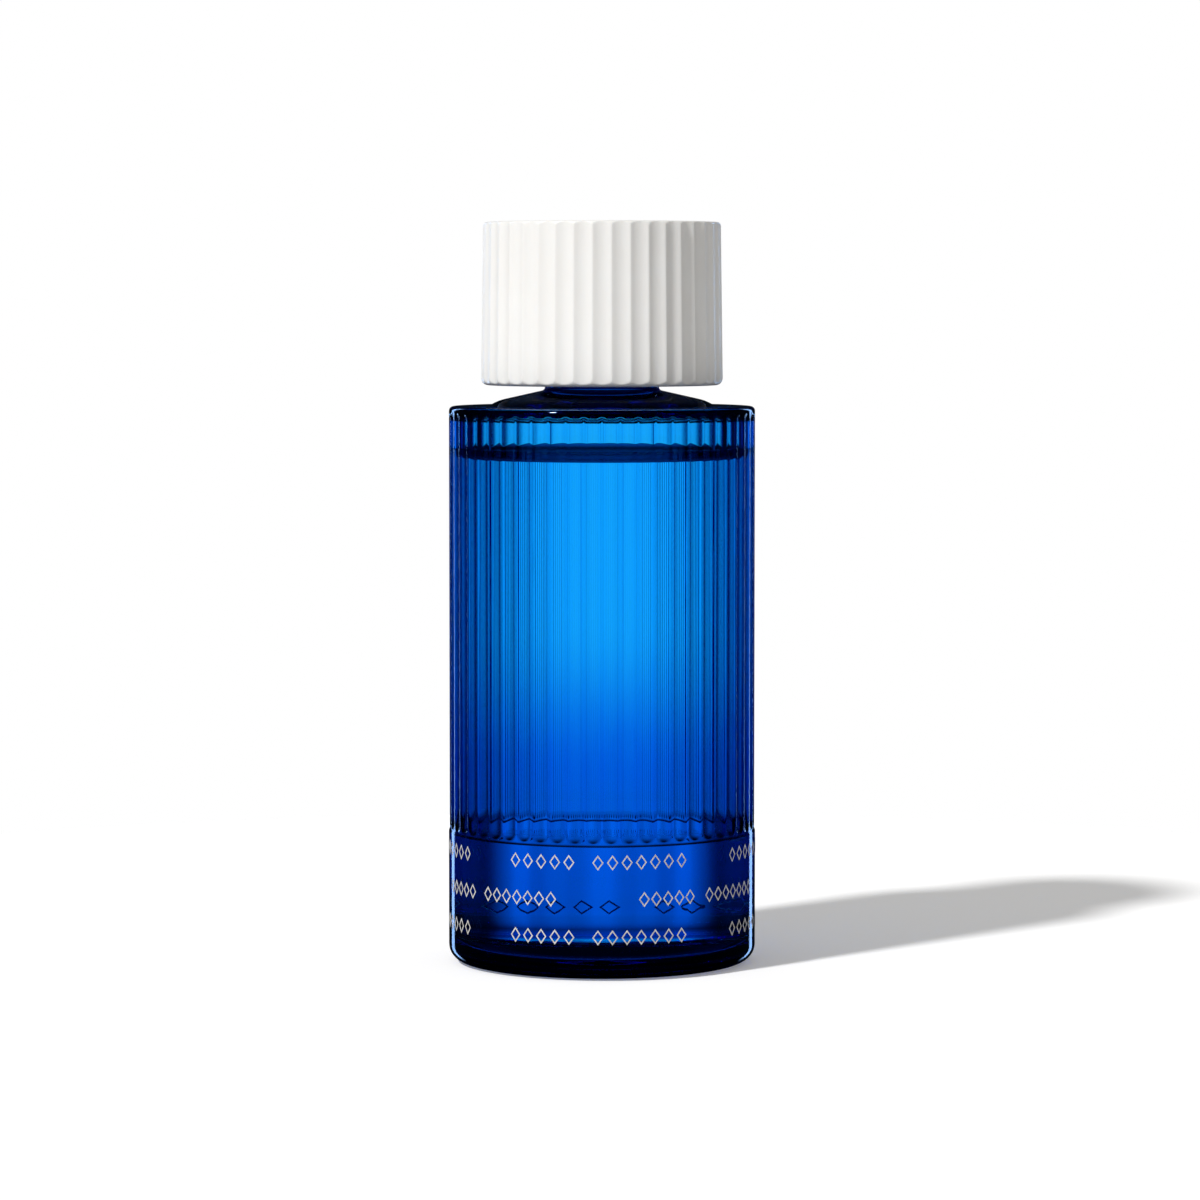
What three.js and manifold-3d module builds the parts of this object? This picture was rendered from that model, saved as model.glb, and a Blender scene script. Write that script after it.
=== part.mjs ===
// A laundry scent booster bottle: a cobalt glass bottle with concave flutes and a plain band at its foot,
// its liquid, and a white fluted screw cap made of a shell, a threaded insert and a sealing liner.
// Millimetres, +Z up, origin on the floor under the middle of the base. The front faces -Y.
import * as THREE from "three";
import { mergeVertices } from "three/addons/utils/BufferGeometryUtils.js";
import Module from "manifold-3d";

const wasm = await Module();
wasm.setup();

// Bottle body
const bodyRadius = 35;
const bodyHeight = 126.6;
const baseCornerRadius = 3.8;
const rimCornerRadius = 2;
const wallThickness = 3.2;
const baseThickness = 3.2;
const pushUpDepth = 1.2;
const standingRingWidth = 10;
const floorCornerRadius = 4;
const floorDish = 0.6;
const bandHeight = 30;
const bandProud = 0.2;

// Shoulder, from the flat ring at the rim up to the neck
const shoulderRingWidth = 9;
const shoulderEdgeRise = 1.2;
const shoulderEdgeRun = 1.8;
const shoulderRise = 3.7;
const shoulderEdgeFillet = 10;
const shoulderThickness = 1.6;
const innerShoulderRise = 0.8;
const ceilingCornerRadius = 1;
const ceilingThroatRadius = 2.5;

// Neck and its finish
const neckRadius = 12.95;
const neckHeight = 16.7;
const mouthRadius = 10.2;
const neckFootFillet = 0.6;
const mouthEdgeRadius = 0.8;
const beadHeight = 1.8;
const beadProud = 1.1;
const beadAboveShoulder = 2.6;

// Flutes on the body
const fluteCount = 54;
const fluteWidth = 3.4;
const fluteDepth = 0.45;
const fluteFootGap = 0.5;
const fluteHeadGap = 1.3;

// Thread, shared by the neck and the cap's insert
const threadPitch = 4.2;
const threadTurns = 1.5;
const threadBelowMouth = 2.6;
const neckThreadHeight = 1.1;
const neckThreadFoot = 2.2;
const neckThreadCrest = 1;
const insertThreadFoot = 1.9;
const insertThreadCrest = 0.8;
const threadRadialPlay = 0.4;
const threadAxialPlay = 0.3;
const threadRoot = 0.5;
const threadStepsPerTurn = 20;
const threadFadeSteps = 3;

// Liquid
const fillClearance = 0.3;
const headspace = 12;
const meniscusRise = 2.6;
const meniscusWidth = 5;

// Cap shell
const capFootRadius = 27.5;
const capDraft = 0.5;
const capHeight = 36.9;
const capAboveShoulder = 1.1;
const capTopEdgeRadius = 1;
const capFootEdgeRadius = 1.6;
const capWall = 2.4;
const capTopThickness = 2.2;
const capFluteCount = 40;
const capFluteWidth = 3.9;
const capFluteDepth = 0.42;
const shellCeilingFillet = 1.5;
const seatHeight = 3.6;
const seatWidth = 0.9;
const driveRibCount = 8;
const driveRibThickness = 1.4;

// Cap insert and liner
const seatClearance = 0.3;
const insertRecess = 0.8;
const insertWall = 2.4;
const insertDeck = 1.6;
const insertFlange = 1.6;
const splineProud = 1.2;
const splineWidth = 2;
const linerThickness = 1.2;
const linerClearance = 0.3;

// Levels and radii worked out from the sizes above
const innerRadius = bodyRadius - wallThickness;
const floorLevel = pushUpDepth + baseThickness;
const floorCornerLevel = floorLevel - floorDish;
const fluteGroundRadius = bodyRadius - bandProud;
const neckFootLevel = bodyHeight + shoulderRise;
const mouthLevel = neckFootLevel + neckHeight;
const ceilingLevel = bodyHeight - shoulderThickness;
const fillLevel = bodyHeight - headspace;
const capFootLevel = neckFootLevel + capAboveShoulder;
const capTopLevel = capFootLevel + capHeight;
const insertBore = neckRadius + neckThreadHeight + threadRadialPlay;
const insertFootLevel = capFootLevel + insertRecess;
const deckLevel = mouthLevel + linerThickness + 2 * linerClearance;
const shellBore = capFootRadius - capWall;
const insertOuterRadius = insertBore + insertWall;

// Facets
const bodySegments = fluteCount;
const capSegments = 2 * capFluteCount;
const insideSegments = 36;
const fluteFacets = 3;
const fluteEndSegments = 5;
const filletStep = Math.PI / 6;
const smallFilletStep = Math.PI / 4;
const smallFillet = 1.9;
const overrun = 1;
const frontAngle = -Math.PI / 2;

/** A three.js geometry as a manifold solid, without the zero-area triangles that a lathe leaves on its axis. */
function toSolid(geometry) {
  const bare = geometry.index ? geometry.toNonIndexed() : geometry.clone();
  bare.deleteAttribute("normal");
  bare.deleteAttribute("uv");
  const merged = mergeVertices(bare, 1e-4);
  const triangles = [];
  const index = merged.index.array;
  for (let i = 0; i < index.length; i += 3) {
    const [a, b, c] = [index[i], index[i + 1], index[i + 2]];
    if (a !== b && b !== c && c !== a) triangles.push(a, b, c);
  }
  const vertProperties = merged.attributes.position.array;
  return new wasm.Manifold(new wasm.Mesh({ numProp: 3, vertProperties, triVerts: new Uint32Array(triangles) }));
}

/** A manifold solid as a three.js geometry. */
function toGeometry(solid) {
  const mesh = solid.getMesh();
  const positions = new Float32Array(mesh.numVert * 3);
  for (let i = 0; i < mesh.numVert; i++) {
    positions.set(mesh.vertProperties.subarray(i * mesh.numProp, i * mesh.numProp + 3), i * 3);
  }
  const geometry = new THREE.BufferGeometry();
  geometry.setAttribute("position", new THREE.BufferAttribute(positions, 3));
  geometry.setIndex(new THREE.BufferAttribute(mesh.triVerts, 1));
  geometry.computeVertexNormals();
  return geometry;
}

/** Turns corners [radius, level, fillet] into an outline whose corners are rounded by tangent arcs. */
function roundedOutline(corners, closed = false) {
  const outline = [];
  corners.forEach(([r, z, fillet = 0], i) => {
    const here = new THREE.Vector2(r, z);
    const isEnd = !closed && (i === 0 || i === corners.length - 1);
    if (!fillet || isEnd) {
      outline.push(here);
      return;
    }
    const before = new THREE.Vector2(...corners.at(i - 1).slice(0, 2)).sub(here);
    const after = new THREE.Vector2(...corners[(i + 1) % corners.length].slice(0, 2)).sub(here);
    const half = before.angleTo(after) / 2;
    const reach = Math.min(fillet / Math.tan(half), 0.98 * before.length(), 0.98 * after.length());
    const radius = reach * Math.tan(half);
    const start = here.clone().addScaledVector(before.clone().normalize(), reach);
    const bisector = before.clone().normalize().add(after.clone().normalize()).normalize();
    const centre = here.clone().addScaledVector(bisector, radius / Math.sin(half));
    const turn = Math.PI - 2 * half;
    const sense = Math.sign(before.clone().negate().cross(after));
    const steps = Math.ceil(turn / (radius < smallFillet ? smallFilletStep : filletStep) - 0.01);
    for (let step = 0; step <= steps; step++) {
      outline.push(start.clone().rotateAround(centre, (sense * turn * step) / steps));
    }
  });
  return outline;
}

/** Revolves an outline about the Z axis, with a facet edge at the front. */
function revolve(outline, segments, closed = false) {
  const points = closed ? [...outline, outline[0].clone()] : outline;
  const lathe = new THREE.LatheGeometry(points, segments);
  lathe.rotateX(Math.PI / 2).rotateZ(frontAngle);
  return toSolid(lathe);
}

/** Joins copies of a solid, evenly spaced about Z, starting half a pitch from the front. */
function ringOf(solid, count, offset = Math.PI / count) {
  const copies = [];
  for (let i = 0; i < count; i++) {
    const angle = frontAngle + offset + (2 * Math.PI * i) / count;
    copies.push(solid.rotate([0, 0, THREE.MathUtils.radToDeg(angle)]));
  }
  return wasm.Manifold.union(copies);
}

/** The round cutter that leaves a flute of this width and depth, with one of its facets at the floor. */
function fluteTool(width, depth) {
  const radius = (width * width / 4 + depth * depth) / (2 * depth);
  const facet = (2 * Math.asin(width / 2 / radius)) / fluteFacets;
  const sides = 2 * Math.floor(Math.PI / facet) - 1;
  return { radius, sides, cornerRadius: radius / Math.cos(Math.PI / sides) };
}

/** A helical rib of trapezoid section on the Z axis, rooted in a wall, its ends run out to nothing. */
function helicalRib({ wallRadius, crestRadius, footWidth, crestWidth, startLevel, turns }) {
  const height = crestRadius - wallRadius;
  const rootRadius = wallRadius - Math.sign(height) * threadRoot;
  const rootWidth = footWidth + ((footWidth - crestWidth) * threadRoot) / Math.abs(height);
  const steps = Math.round(turns * threadStepsPerTurn);
  const positions = [];
  for (let i = 0; i <= steps; i++) {
    const turn = i / threadStepsPerTurn;
    const angle = frontAngle + 2 * Math.PI * turn;
    const level = startLevel + threadPitch * turn;
    const fade = Math.min(1, (0.5 + Math.min(i, steps - i)) / threadFadeSteps);
    const section = [
      [rootRadius, -rootWidth / 2],
      [wallRadius + height * fade, -crestWidth / 2],
      [wallRadius + height * fade, crestWidth / 2],
      [rootRadius, rootWidth / 2],
    ];
    for (const [r, z] of section) positions.push(r * Math.cos(angle), r * Math.sin(angle), level + z);
  }
  const sides = 4;
  const index = [];
  const triangle = (a, b, c) => (height < 0 ? index.push(a, c, b) : index.push(a, b, c));
  for (let i = 0; i < steps; i++) {
    for (let k = 0; k < sides; k++) {
      const a = i * sides + k;
      const b = i * sides + ((k + 1) % sides);
      triangle(a, a + sides, b);
      triangle(b, a + sides, b + sides);
    }
  }
  for (let k = 1; k < sides - 1; k++) {
    triangle(0, k, k + 1);
    triangle(steps * sides, steps * sides + k + 1, steps * sides + k);
  }
  const geometry = new THREE.BufferGeometry();
  geometry.setAttribute("position", new THREE.Float32BufferAttribute(positions, 3));
  geometry.setIndex(index);
  return toSolid(geometry);
}

/** The glass: hollowed, fluted and threaded. */
function makeGlassBottle() {
  return glassBlank().subtract(glassHollow()).subtract(bodyFlutes()).add(neckThread());
}

/** The outside of the glass, revolved. */
function glassBlank() {
  const beadLevel = neckFootLevel + beadAboveShoulder;
  const ringInner = fluteGroundRadius - shoulderRingWidth;
  return revolve(
    roundedOutline([
      [0, pushUpDepth],
      [bodyRadius - baseCornerRadius - standingRingWidth, 0, 2],
      [bodyRadius, 0, baseCornerRadius],
      [bodyRadius, bandHeight],
      [fluteGroundRadius, bandHeight + bandProud],
      [fluteGroundRadius, bodyHeight, rimCornerRadius],
      [ringInner, bodyHeight],
      [ringInner - shoulderEdgeRun, bodyHeight + shoulderEdgeRise, shoulderEdgeFillet],
      [neckRadius, neckFootLevel, neckFootFillet],
      [neckRadius, beadLevel],
      [neckRadius + beadProud, beadLevel + beadHeight / 3],
      [neckRadius + beadProud, beadLevel + (2 * beadHeight) / 3],
      [neckRadius, beadLevel + beadHeight],
      [neckRadius, mouthLevel, mouthEdgeRadius],
      [0, mouthLevel],
    ]),
    bodySegments,
  );
}

/** The hollow inside the glass, revolved and run out through the mouth. */
function glassHollow() {
  return revolve(
    roundedOutline([
      [0, floorLevel],
      [innerRadius, floorCornerLevel, floorCornerRadius],
      [innerRadius, ceilingLevel, ceilingCornerRadius],
      [mouthRadius, ceilingLevel + innerShoulderRise, ceilingThroatRadius],
      [mouthRadius, mouthLevel - mouthEdgeRadius],
      [mouthRadius + mouthEdgeRadius, mouthLevel + overrun / 2],
      [0, mouthLevel + overrun / 2],
    ]),
    insideSegments,
  );
}

/** The round-ended cutters of the body's flutes. A land faces the front. */
function bodyFlutes() {
  const { radius, sides, cornerRadius } = fluteTool(fluteWidth, fluteDepth);
  const low = bandHeight + fluteFootGap + fluteWidth / 2;
  const high = bodyHeight - fluteHeadGap - fluteWidth / 2;
  const capsule = new THREE.CapsuleGeometry(cornerRadius, high - low, fluteEndSegments, sides);
  capsule.rotateX(Math.PI / 2).rotateZ(Math.PI);
  capsule.translate(fluteGroundRadius + radius - fluteDepth, 0, (low + high) / 2);
  return ringOf(toSolid(capsule), fluteCount);
}

/** The neck's outer thread. */
function neckThread() {
  return helicalRib({
    wallRadius: neckRadius,
    crestRadius: neckRadius + neckThreadHeight,
    footWidth: neckThreadFoot,
    crestWidth: neckThreadCrest,
    startLevel: threadStart(),
    turns: threadTurns,
  });
}

/** The level of the lower end of the neck's thread. */
function threadStart() {
  return mouthLevel - threadBelowMouth - threadPitch * threadTurns;
}

/** The liquid, with its surface drawn up a little where it wets the glass. */
function makeLiquid() {
  const radius = innerRadius - fillClearance;
  return revolve(
    roundedOutline([
      [0, floorLevel + fillClearance],
      [radius, floorCornerLevel + fillClearance, floorCornerRadius - fillClearance],
      [radius, fillLevel + meniscusRise],
      [radius - meniscusWidth / 4, fillLevel + meniscusRise / 3],
      [radius - meniscusWidth, fillLevel],
      [0, fillLevel],
    ]),
    insideSegments,
  );
}

/** The cap's white outer shell: hollow, fluted outside, with a seat and drive ribs inside for the insert. */
function makeCapShell() {
  const topRadius = capFootRadius - capDraft;
  const blank = revolve(
    roundedOutline([
      [0, capFootLevel],
      [capFootRadius, capFootLevel, capFootEdgeRadius],
      [topRadius, capTopLevel, capTopEdgeRadius],
      [0, capTopLevel],
    ]),
    capSegments,
  );
  const seatRadius = shellBore - seatWidth;
  const ceiling = capTopLevel - capTopThickness;
  const hollow = revolve(
    roundedOutline([
      [0, capFootLevel - overrun],
      [shellBore, capFootLevel - overrun],
      [shellBore, capFootLevel + seatHeight],
      [seatRadius, capFootLevel + seatHeight],
      [seatRadius - capDraft, ceiling, shellCeilingFillet],
      [0, ceiling],
    ]),
    insideSegments,
  );
  return blank.subtract(capFlutes()).subtract(hollow).add(driveRibs(seatRadius, ceiling));
}

/** The cutters of the cap's flutes, which lean with the draft of its wall. A flute faces the front. */
function capFlutes() {
  const { radius, sides, cornerRadius } = fluteTool(capFluteWidth, capFluteDepth);
  const cutter = new THREE.CylinderGeometry(cornerRadius, cornerRadius, capHeight + 4 * overrun, sides);
  cutter.rotateX(Math.PI / 2).rotateZ(Math.PI / 2).rotateY(-Math.atan(capDraft / capHeight));
  const middleRadius = capFootRadius - capDraft / 2;
  cutter.translate(middleRadius + radius - capFluteDepth, 0, capFootLevel + capHeight / 2);
  return ringOf(toSolid(cutter), capFluteCount, 0);
}

/** The ribs inside the shell that turn the insert. */
function driveRibs(outer, ceiling) {
  const inner = insertOuterRadius + seatClearance;
  const foot = capFootLevel + seatHeight + seatWidth;
  const reach = outer - inner + seatWidth;
  const rib = new THREE.BoxGeometry(reach, driveRibThickness, ceiling - foot + overrun);
  rib.translate(inner + reach / 2, 0, (foot + ceiling + overrun) / 2);
  return ringOf(toSolid(rib), driveRibCount);
}

/** The threaded insert: a capped sleeve that screws on the neck, with a flange that closes the shell's foot. */
function makeCapInsert() {
  const flangeTop = capFootLevel + seatHeight - seatClearance;
  const flangeRadius = shellBore - seatClearance;
  const sleeve = revolve(
    roundedOutline([
      [insertBore, insertFootLevel, 0.4],
      [insertOuterRadius, insertFootLevel, 0.4],
      [insertOuterRadius, flangeTop - insertFlange],
      [flangeRadius, flangeTop - insertFlange, 0.5],
      [flangeRadius, flangeTop],
      [insertOuterRadius, flangeTop, 0.5],
      [insertOuterRadius, deckLevel + insertDeck, 1],
      [0, deckLevel + insertDeck],
      [0, deckLevel],
      [insertBore, deckLevel],
    ], true),
    insideSegments,
    true,
  );
  return sleeve.add(insertThread()).add(insertSplines(flangeTop));
}

/** The insert's inner thread, drawn up under the neck's thread with a little play. */
function insertThread() {
  const crestRadius = neckRadius + threadRadialPlay;
  const neckSlope = (neckThreadFoot - neckThreadCrest) / 2 / neckThreadHeight;
  const neckHalf = neckThreadFoot / 2 - neckSlope * threadRadialPlay;
  const drop = neckHalf + insertThreadCrest / 2 + threadAxialPlay;
  return helicalRib({
    wallRadius: insertBore,
    crestRadius,
    footWidth: insertThreadFoot,
    crestWidth: insertThreadCrest,
    startLevel: threadStart() - drop,
    turns: threadTurns,
  });
}

/** The splines on the sleeve that stand between the shell's drive ribs. */
function insertSplines(flangeTop) {
  const top = deckLevel + insertDeck / 2;
  const reach = splineProud + insertWall / 2;
  const spline = new THREE.BoxGeometry(reach, splineWidth, top - flangeTop + insertFlange / 2);
  spline.translate(insertOuterRadius + splineProud - reach / 2, 0, (top + flangeTop - insertFlange / 2) / 2);
  return ringOf(toSolid(spline), driveRibCount, 0);
}

/** The soft disc that seals the mouth. */
function makeLiner() {
  const foot = mouthLevel + linerClearance;
  return revolve(
    roundedOutline([
      [0, foot],
      [insertBore - linerClearance, foot],
      [insertBore - linerClearance, foot + linerThickness],
      [0, foot + linerThickness],
    ]),
    insideSegments,
  );
}

const cobaltGlass = new THREE.MeshStandardMaterial({
  color: 0x0a3fd0, roughness: 0.05, metalness: 0, transparent: true, opacity: 0.5,
});
const blueLiquid = new THREE.MeshStandardMaterial({
  color: 0x0d6ff0, roughness: 0.02, metalness: 0, transparent: true, opacity: 0.6,
});
const whitePlastic = new THREE.MeshStandardMaterial({ color: 0xf4f3ef, roughness: 0.4, metalness: 0 });
const naturalPlastic = new THREE.MeshStandardMaterial({ color: 0xe9e8e2, roughness: 0.5, metalness: 0 });
const linerFoam = new THREE.MeshStandardMaterial({ color: 0xdfe3e6, roughness: 0.8, metalness: 0 });

const bottle = new THREE.Group();
const screwCap = new THREE.Group();
const model = new THREE.Group();

/** Adds a solid to a group as a named mesh. */
function place(group, name, solid, material) {
  const mesh = new THREE.Mesh(toGeometry(solid), material);
  mesh.name = name;
  group.add(mesh);
}

place(bottle, "glass_bottle", makeGlassBottle(), cobaltGlass);
place(bottle, "liquid_fill", makeLiquid(), blueLiquid);
place(screwCap, "cap_shell", makeCapShell(), whitePlastic);
place(screwCap, "cap_insert", makeCapInsert(), naturalPlastic);
place(screwCap, "seal_liner", makeLiner(), linerFoam);
model.add(bottle, screwCap);

export default model;
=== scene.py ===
"""A fluted blue glass bottle of laundry scent booster with a white fluted cap, on a pale floor."""

import logging
import math
from collections.abc import Callable, Sequence
from dataclasses import dataclass, field
from enum import Enum

import bmesh
import bpy
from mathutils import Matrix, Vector

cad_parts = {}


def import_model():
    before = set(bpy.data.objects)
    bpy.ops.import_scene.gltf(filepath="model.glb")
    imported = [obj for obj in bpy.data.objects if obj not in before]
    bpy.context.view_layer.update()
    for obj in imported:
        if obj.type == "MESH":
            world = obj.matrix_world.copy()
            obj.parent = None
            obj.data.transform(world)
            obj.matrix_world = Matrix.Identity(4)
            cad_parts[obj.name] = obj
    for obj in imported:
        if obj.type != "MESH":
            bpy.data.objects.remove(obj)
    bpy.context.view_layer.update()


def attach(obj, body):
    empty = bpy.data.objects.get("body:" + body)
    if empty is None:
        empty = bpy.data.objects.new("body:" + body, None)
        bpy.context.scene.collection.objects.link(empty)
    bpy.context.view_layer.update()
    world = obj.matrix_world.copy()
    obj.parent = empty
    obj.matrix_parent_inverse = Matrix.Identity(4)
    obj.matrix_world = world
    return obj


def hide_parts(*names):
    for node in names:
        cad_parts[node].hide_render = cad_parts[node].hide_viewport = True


LOG = logging.getLogger("scent_booster_bottle")
MM = 0.001
FRONT = -math.pi / 2
ON_AXIS = 1e-6
SAME_RADIUS = 0.01
FILLET_ROOM = 0.98
FLUTE_COLUMNS = (-1.06, -0.965, -0.78, -0.52, -0.26, 0.0, 0.26, 0.52, 0.78, 0.965, 1.06)
LOZENGE = ((0, -1), (0.5, -0.5), (1, 0), (0.5, 0.5), (0, 1), (-0.5, 0.5), (-1, 0), (-0.5, -0.5))
FLOAT = "NodeSocketFloat"
COLOUR = "NodeSocketColor"

Socket = bpy.types.NodeSocket
Node = bpy.types.Node
NodeTree = bpy.types.NodeTree
Material = bpy.types.Material
Thing = bpy.types.Object
Mesh = bmesh.types.BMesh
Vert = bmesh.types.BMVert
Colour = tuple[float, float, float]
Corner = tuple[float, ...]
Point = tuple[float, float]
Step = tuple[Point, Point]


class Body(Enum):
    """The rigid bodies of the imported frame."""

    BOTTLE = "bottle"
    SEAL = "seal"
    SCREW_CAP = "screw_cap"


class Slot(Enum):
    """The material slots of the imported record."""

    BLUE_GLASS = "blue_glass"
    BLUE_LIQUID = "blue_liquid"
    WHITE_PLASTIC = "white_plastic"
    NATURAL_PLASTIC = "natural_plastic"
    LINER_FOAM = "liner_foam"


# Node helpers.


@dataclass
class Wiring:
    """A node tree with short ways to add and link nodes."""

    tree: NodeTree

    def add(self, kind: str, **settings: object) -> Node:
        """Adds a node.

        Args:
            kind: The node's type name.
            settings: Properties to set on it.

        Returns:
            The new node.
        """
        node = self.tree.nodes.new(kind)
        for name, value in settings.items():
            setattr(node, name, value)
        return node

    def fill(self, node: Node, **values: object) -> None:
        """Links or sets inputs of a node.

        Args:
            node: The node.
            values: A socket, a number or a colour for each input, named with underscores for spaces.
        """
        for name, value in values.items():
            self.feed(value, node.inputs[name.replace("_", " ")])

    def feed(self, value: object, target: Socket) -> None:
        """Links a socket to an input, or sets the input.

        Args:
            value: A socket, a number, or a colour without its alpha.
            target: The input.
        """
        if isinstance(value, Socket):
            self.tree.links.new(value, target)
        else:
            target.default_value = (*value, 1.0) if target.type == "RGBA" else value

    def math(self, operation: str, first: object, second: object = 0.0) -> Socket:
        """Adds a Math node.

        Args:
            operation: Its operation.
            first: A socket or a number.
            second: A socket or a number.

        Returns:
            Its output.
        """
        node = self.add("ShaderNodeMath", operation=operation)
        for target, value in zip(node.inputs, (first, second)):
            self.feed(value, target)
        return node.outputs[0]

    def ramp(self, value: Socket, low: Point, high: Point) -> Socket:
        """Maps a value smoothly from one range to another.

        Args:
            value: What is mapped.
            low: Where the range starts, and what it gives there.
            high: Where the range ends, and what it gives there.

        Returns:
            The mapped value.
        """
        node = self.add("ShaderNodeMapRange", interpolation_type="SMOOTHSTEP")
        self.fill(node, Value=value, From_Min=low[0], From_Max=high[0], To_Min=low[1], To_Max=high[1])
        return node.outputs["Result"]

    def blend(self, share: Socket, first: object, second: object) -> Socket:
        """Mixes two colours by a share.

        Args:
            share: 0 for the first, 1 for the second.
            first: The first colour, or the socket that gives it.
            second: The second colour, or the socket that gives it.

        Returns:
            The mixed colour.
        """
        node = self.add("ShaderNodeMix", data_type="RGBA")
        self.fill(node, Factor=share, A=first, B=second)
        return node.outputs["Result"]


def new_group(name: str, inputs: dict[str, str], outputs: dict[str, str]) -> Wiring:
    """Starts a shader node group.

    Args:
        name: The group's name.
        inputs: Each input's socket type, by its name.
        outputs: Each output's socket type, by its name.

    Returns:
        The wiring of the new group.
    """
    tree = bpy.data.node_groups.new(name, "ShaderNodeTree")
    for way, sockets in (("INPUT", inputs), ("OUTPUT", outputs)):
        for label, kind in sockets.items():
            tree.interface.new_socket(label, in_out=way, socket_type=kind)
    return Wiring(tree)


class SharedEffects:
    """The node groups that several materials use, each built once."""

    def __init__(self) -> None:
        """Builds the groups."""
        self.mottle = self._mottle()
        self.ripple = self._ripple()

    @staticmethod
    def _mottle() -> NodeTree:
        """Builds a faint cloudy change of colour and roughness with fine grain.

        Returns:
            The group, with outputs Color, Roughness and Height.
        """
        inputs = {"Tone": COLOUR, "Shade": COLOUR, "Roughness": FLOAT, "Spread": FLOAT}
        inputs |= {"Cloud Scale": FLOAT, "Grain Scale": FLOAT}
        wiring = new_group("mottle", inputs, {"Color": COLOUR, "Roughness": FLOAT, "Height": FLOAT})
        source = wiring.add("NodeGroupInput")
        place = wiring.add("ShaderNodeTexCoord")
        cloud = wiring.add("ShaderNodeTexNoise")
        grain = wiring.add("ShaderNodeTexNoise")
        for noise, scale in ((cloud, "Cloud Scale"), (grain, "Grain Scale")):
            wiring.fill(noise, Vector=place.outputs["Object"], Scale=source.outputs[scale], Detail=3.0)
        share = wiring.ramp(cloud.outputs["Fac"], (0.35, 0.0), (0.65, 1.0))
        lift = wiring.math("MULTIPLY", grain.outputs["Fac"], source.outputs["Spread"])
        wiring.fill(
            wiring.add("NodeGroupOutput"),
            Color=wiring.blend(share, source.outputs["Tone"], source.outputs["Shade"]),
            Roughness=wiring.math("ADD", source.outputs["Roughness"], lift),
            Height=grain.outputs["Fac"],
        )
        return wiring.tree

    @staticmethod
    def _ripple() -> NodeTree:
        """Builds the slow waves of poured glass and of a liquid's skin, stretched along the axis.

        Returns:
            The group, with output Height.
        """
        inputs = {"Scale": FLOAT, "Stretch": FLOAT, "Warp": FLOAT}
        wiring = new_group("ripple", inputs, {"Height": FLOAT})
        source = wiring.add("NodeGroupInput")
        place = wiring.add("ShaderNodeTexCoord")
        axis = wiring.add("ShaderNodeCombineXYZ")
        wiring.fill(axis, X=1.0, Y=1.0, Z=source.outputs["Stretch"])
        scaled = wiring.add("ShaderNodeVectorMath", operation="MULTIPLY")
        wiring.feed(place.outputs["Object"], scaled.inputs[0])
        wiring.feed(axis.outputs["Vector"], scaled.inputs[1])
        noise = wiring.add("ShaderNodeTexNoise")
        wiring.fill(noise, Vector=scaled.outputs["Vector"], Scale=source.outputs["Scale"], Detail=2.0)
        wiring.feed(source.outputs["Warp"], noise.inputs["Distortion"])
        wiring.fill(wiring.add("NodeGroupOutput"), Height=noise.outputs["Fac"])
        return wiring.tree


def start_material(name: str) -> tuple[Material, Wiring, Node, Node]:
    """Starts a material of one Principled shader.

    Args:
        name: The material's name.

    Returns:
        The material, its wiring, its shader and its output node.
    """
    material = bpy.data.materials.new(name)
    material.use_nodes = True
    material.node_tree.nodes.clear()
    wiring = Wiring(material.node_tree)
    output = wiring.add("ShaderNodeOutputMaterial")
    shader = wiring.add("ShaderNodeBsdfPrincipled")
    wiring.feed(shader.outputs["BSDF"], output.inputs["Surface"])
    return material, wiring, shader, output


def bump(wiring: Wiring, height: Socket, shader: Node, depth: float, strength: float) -> None:
    """Feeds a height to a shader's normal.

    Args:
        wiring: The material's wiring.
        height: The height's output.
        shader: The shader whose normal it sets.
        depth: What a height of 1 stands for, in metres.
        strength: The share of it that shows.
    """
    node = wiring.add("ShaderNodeBump")
    wiring.fill(node, Distance=depth, Strength=strength, Height=height)
    wiring.feed(node.outputs["Normal"], shader.inputs["Normal"])


# Finishes.


@dataclass(frozen=True)
class ClearFinish:
    """A clear glass or liquid body, coloured by its thickness and by painted shade towards its
    silhouette.
    """

    name: str
    refraction: float
    absorbed_tint: Colour
    # The colour of the painted shade, darker than face_tint, that the surface takes where it turns away
    # from view.
    absorption: float
    painted_edge_shade: Colour
    ripple_scale: float
    ripple_stretch: float
    ripple_depth: float
    gleam: Colour
    face_tint: Colour = (1.0, 1.0, 1.0)
    ripple_warp: float = 0.5
    edge_blend: float = 0.35
    edge: Step = ((0.25, 0.0), (0.95, 1.0))

    def make(self, effects: SharedEffects) -> Material:
        """Makes the material.

        Args:
            effects: The shared node groups.

        Returns:
            The material.
        """
        material, wiring, shader, output = start_material(self.name)
        # Painted shade: the colour darkens towards the edge tint where the surface turns away from view,
        # so the glass shows darker blue at its silhouette.
        facing = wiring.add("ShaderNodeLayerWeight")
        wiring.fill(facing, Blend=self.edge_blend)
        share = wiring.ramp(facing.outputs["Facing"], *self.edge)
        wiring.fill(
            shader,
            Base_Color=wiring.blend(share, self.face_tint, self.painted_edge_shade),
            Transmission_Weight=1.0,
            Roughness=0.0,
            IOR=self.refraction,
            Specular_Tint=self.gleam,
        )
        ripple = wiring.add("ShaderNodeGroup", node_tree=effects.ripple)
        wiring.fill(ripple, Scale=self.ripple_scale, Stretch=self.ripple_stretch, Warp=self.ripple_warp)
        bump(wiring, ripple.outputs["Height"], shader, self.ripple_depth, 1.0)
        volume = wiring.add("ShaderNodeVolumeAbsorption")
        wiring.fill(volume, Color=self.absorbed_tint, Density=self.absorption)
        wiring.feed(volume.outputs["Volume"], output.inputs["Volume"])
        return material


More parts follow.
